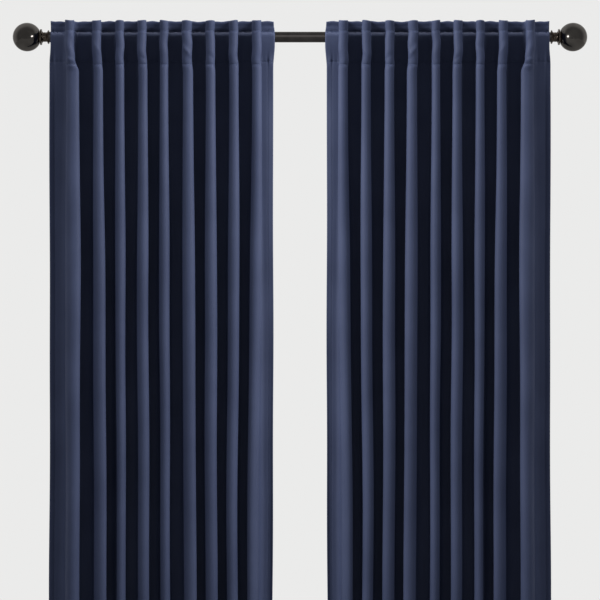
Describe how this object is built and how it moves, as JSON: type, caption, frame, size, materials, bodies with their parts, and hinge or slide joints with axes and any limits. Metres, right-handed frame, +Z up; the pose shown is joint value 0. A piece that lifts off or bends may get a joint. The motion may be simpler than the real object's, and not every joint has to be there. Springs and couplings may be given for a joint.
{
  "type": "window curtains on a rod",
  "caption": "Pair of back-tab curtain panels hanging in even folds from a telescoping metal rod with ball finials and wall brackets.",
  "frame": {"origin": "on the wall, midway between the two brackets, at the height of the rod's axis", "axes": "+X to the right along the rod, -Y out of the wall into the room, +Z up"},
  "size_m": [1.3786, 0.1817, 2.134],
  "materials": {
    "face_cloth": "satin",
    "band_cloth": "matte",
    "tab_cloth": "matte",
    "rod_bronze": "satin",
    "finial_bronze": "gloss",
    "bracket_bronze": "satin",
    "plated_steel": "satin",
    "plug_plastic": "matte"
  },
  "bodies": {
    "rod_and_brackets": {"outer_tube": "rod_bronze", "left_end_plug": "plug_plastic", "left_wall_plate": "bracket_bronze", "left_bracket_arm": "bracket_bronze", "left_rod_cradle": "bracket_bronze", "left_upper_wall_screw": "plated_steel", "left_lower_wall_screw": "plated_steel", "right_wall_plate": "bracket_bronze", "right_bracket_arm": "bracket_bronze", "right_rod_cradle": "bracket_bronze", "right_upper_wall_screw": "plated_steel", "right_lower_wall_screw": "plated_steel"},
    "inner_rod": {"inner_tube": "rod_bronze", "right_end_plug": "plug_plastic"},
    "left_finial": {"left_finial_ball": "finial_bronze", "left_finial_neck": "finial_bronze", "left_finial_stud": "plated_steel"},
    "left_set_screw": {"left_set_screw": "plated_steel"},
    "left_panel": {"left_panel_cloth": "face_cloth", "left_pocket_band": "band_cloth", "left_tab_01": "tab_cloth", "left_tab_02": "tab_cloth"},
    "left_sliding_tab_03": {"left_tab_03": "tab_cloth"},
    "left_sliding_tab_04": {"left_tab_04": "tab_cloth"},
    "left_sliding_tab_05": {"left_tab_05": "tab_cloth"},
    "left_sliding_tab_06": {"left_tab_06": "tab_cloth"},
    "left_sliding_tab_07": {"left_tab_07": "tab_cloth"},
    "left_sliding_tab_08": {"left_tab_08": "tab_cloth"},
    "left_sliding_tab_09": {"left_tab_09": "tab_cloth"},
    "left_leading_tab": {"left_tab_10": "tab_cloth"},
    "right_finial": {"right_finial_ball": "finial_bronze", "right_finial_neck": "finial_bronze", "right_finial_stud": "plated_steel"},
    "right_set_screw": {"right_set_screw": "plated_steel"},
    "right_panel": {"right_panel_cloth": "face_cloth", "right_pocket_band": "band_cloth", "right_tab_01": "tab_cloth", "right_tab_02": "tab_cloth"},
    "right_sliding_tab_03": {"right_tab_03": "tab_cloth"},
    "right_sliding_tab_04": {"right_tab_04": "tab_cloth"},
    "right_sliding_tab_05": {"right_tab_05": "tab_cloth"},
    "right_sliding_tab_06": {"right_tab_06": "tab_cloth"},
    "right_sliding_tab_07": {"right_tab_07": "tab_cloth"},
    "right_sliding_tab_08": {"right_tab_08": "tab_cloth"},
    "right_sliding_tab_09": {"right_tab_09": "tab_cloth"},
    "right_leading_tab": {"right_tab_10": "tab_cloth"}
  },
  "joints": [
    {"name": "rod_extension", "type": "slide", "parent": "rod_and_brackets", "child": "inner_rod", "axis": [1, 0, 0], "range_m": [0, 0.46]},
    {"name": "left_finial_thread", "type": "hinge", "parent": "rod_and_brackets", "child": "left_finial", "pos_m": [-0.606, -0.09, 0], "axis": [-1, 0, 0], "range_deg": [0, 1800]},
    {"name": "left_set_screw_thread", "type": "hinge", "parent": "rod_and_brackets", "child": "left_set_screw", "pos_m": [-0.54875, -0.09, -0.02], "axis": [0, 0, -1], "range_deg": [0, 1080]},
    {"name": "left_panel_shift", "type": "slide", "parent": "rod_and_brackets", "child": "left_panel", "axis": [1, 0, 0], "range_m": [0, 0.006]},
    {"name": "left_tab_03_slide", "type": "slide", "parent": "left_panel", "child": "left_sliding_tab_03", "axis": [1, 0, 0], "range_m": [-0.00602, 0.00215]},
    {"name": "left_tab_04_slide", "type": "slide", "parent": "left_panel", "child": "left_sliding_tab_04", "axis": [1, 0, 0], "range_m": [-0.02188, 0.00781]},
    {"name": "left_tab_05_slide", "type": "slide", "parent": "left_panel", "child": "left_sliding_tab_05", "axis": [1, 0, 0], "range_m": [-0.0443, 0.01582]},
    {"name": "left_tab_06_slide", "type": "slide", "parent": "left_panel", "child": "left_sliding_tab_06", "axis": [1, 0, 0], "range_m": [-0.07, 0.025]},
    {"name": "left_tab_07_slide", "type": "slide", "parent": "left_panel", "child": "left_sliding_tab_07", "axis": [1, 0, 0], "range_m": [-0.0957, 0.03418]},
    {"name": "left_tab_08_slide", "type": "slide", "parent": "left_panel", "child": "left_sliding_tab_08", "axis": [1, 0, 0], "range_m": [-0.11813, 0.04219]},
    {"name": "left_tab_09_slide", "type": "slide", "parent": "left_panel", "child": "left_sliding_tab_09", "axis": [1, 0, 0], "range_m": [-0.13399, 0.04785]},
    {"name": "left_panel_draw", "type": "slide", "parent": "left_panel", "child": "left_leading_tab", "axis": [1, 0, 0], "range_m": [-0.14, 0.05], "deforming": ["left_panel_cloth", "left_pocket_band"]},
    {"name": "right_finial_thread", "type": "hinge", "parent": "inner_rod", "child": "right_finial", "pos_m": [0.606, -0.09, 0], "axis": [1, 0, 0], "range_deg": [0, 1800]},
    {"name": "right_set_screw_thread", "type": "hinge", "parent": "rod_and_brackets", "child": "right_set_screw", "pos_m": [0.54875, -0.09, -0.02], "axis": [0, 0, -1], "range_deg": [0, 1080]},
    {"name": "right_panel_shift", "type": "slide", "parent": "rod_and_brackets", "child": "right_panel", "axis": [-1, 0, 0], "range_m": [0, 0.006]},
    {"name": "right_tab_03_slide", "type": "slide", "parent": "right_panel", "child": "right_sliding_tab_03", "axis": [-1, 0, 0], "range_m": [-0.00602, 0.00215]},
    {"name": "right_tab_04_slide", "type": "slide", "parent": "right_panel", "child": "right_sliding_tab_04", "axis": [-1, 0, 0], "range_m": [-0.02188, 0.00781]},
    {"name": "right_tab_05_slide", "type": "slide", "parent": "right_panel", "child": "right_sliding_tab_05", "axis": [-1, 0, 0], "range_m": [-0.0443, 0.01582]},
    {"name": "right_tab_06_slide", "type": "slide", "parent": "right_panel", "child": "right_sliding_tab_06", "axis": [-1, 0, 0], "range_m": [-0.07, 0.025]},
    {"name": "right_tab_07_slide", "type": "slide", "parent": "right_panel", "child": "right_sliding_tab_07", "axis": [-1, 0, 0], "range_m": [-0.0957, 0.03418]},
    {"name": "right_tab_08_slide", "type": "slide", "parent": "right_panel", "child": "right_sliding_tab_08", "axis": [-1, 0, 0], "range_m": [-0.11813, 0.04219]},
    {"name": "right_tab_09_slide", "type": "slide", "parent": "right_panel", "child": "right_sliding_tab_09", "axis": [-1, 0, 0], "range_m": [-0.13399, 0.04785]},
    {"name": "right_panel_draw", "type": "slide", "parent": "right_panel", "child": "right_leading_tab", "axis": [-1, 0, 0], "range_m": [-0.14, 0.05], "deforming": ["right_panel_cloth", "right_pocket_band"]}
  ],
  "couplings": [
    {"joint": "left_tab_03_slide", "follows": "left_panel_draw", "ratio": 0.042969},
    {"joint": "left_tab_04_slide", "follows": "left_panel_draw", "ratio": 0.15625},
    {"joint": "left_tab_05_slide", "follows": "left_panel_draw", "ratio": 0.31641},
    {"joint": "left_tab_06_slide", "follows": "left_panel_draw", "ratio": 0.5},
    {"joint": "left_tab_07_slide", "follows": "left_panel_draw", "ratio": 0.68359},
    {"joint": "left_tab_08_slide", "follows": "left_panel_draw", "ratio": 0.84375},
    {"joint": "left_tab_09_slide", "follows": "left_panel_draw", "ratio": 0.95703},
    {"joint": "right_tab_03_slide", "follows": "right_panel_draw", "ratio": 0.042969},
    {"joint": "right_tab_04_slide", "follows": "right_panel_draw", "ratio": 0.15625},
    {"joint": "right_tab_05_slide", "follows": "right_panel_draw", "ratio": 0.31641},
    {"joint": "right_tab_06_slide", "follows": "right_panel_draw", "ratio": 0.5},
    {"joint": "right_tab_07_slide", "follows": "right_panel_draw", "ratio": 0.68359},
    {"joint": "right_tab_08_slide", "follows": "right_panel_draw", "ratio": 0.84375},
    {"joint": "right_tab_09_slide", "follows": "right_panel_draw", "ratio": 0.95703}
  ]
}
